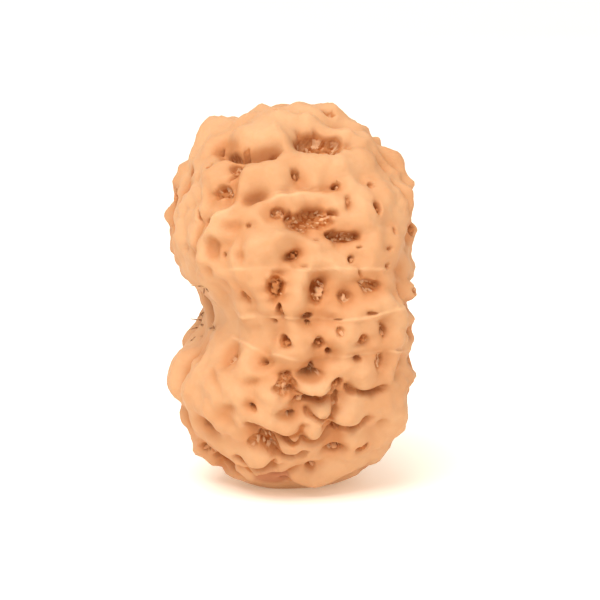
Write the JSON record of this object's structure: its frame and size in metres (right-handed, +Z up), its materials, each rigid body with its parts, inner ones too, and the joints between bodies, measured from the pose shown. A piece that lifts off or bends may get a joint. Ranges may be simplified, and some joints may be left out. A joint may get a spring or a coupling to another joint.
{
  "type": "rudraksha seed",
  "caption": "Rudraksha seed standing on end: a kidney-shaped stone of many lobes, with seam lines from pole to pole, a rounded raised net and deep pits.",
  "frame": {"origin": "middle of the small flat spot that the seed stands on", "axes": "+Z up along the seed's longest extent, +X from the stalk pole in its notch to the far pole, -Y the front"},
  "size_m": [0.0189, 0.0223, 0.0298],
  "materials": {
    "stone": "matte, dry, hard fruit stone in warm tan, darker reddish brown in the pits"
  },
  "bodies": {
    "root": {"seed_stone": "stone"}
  },
  "joints": []
}
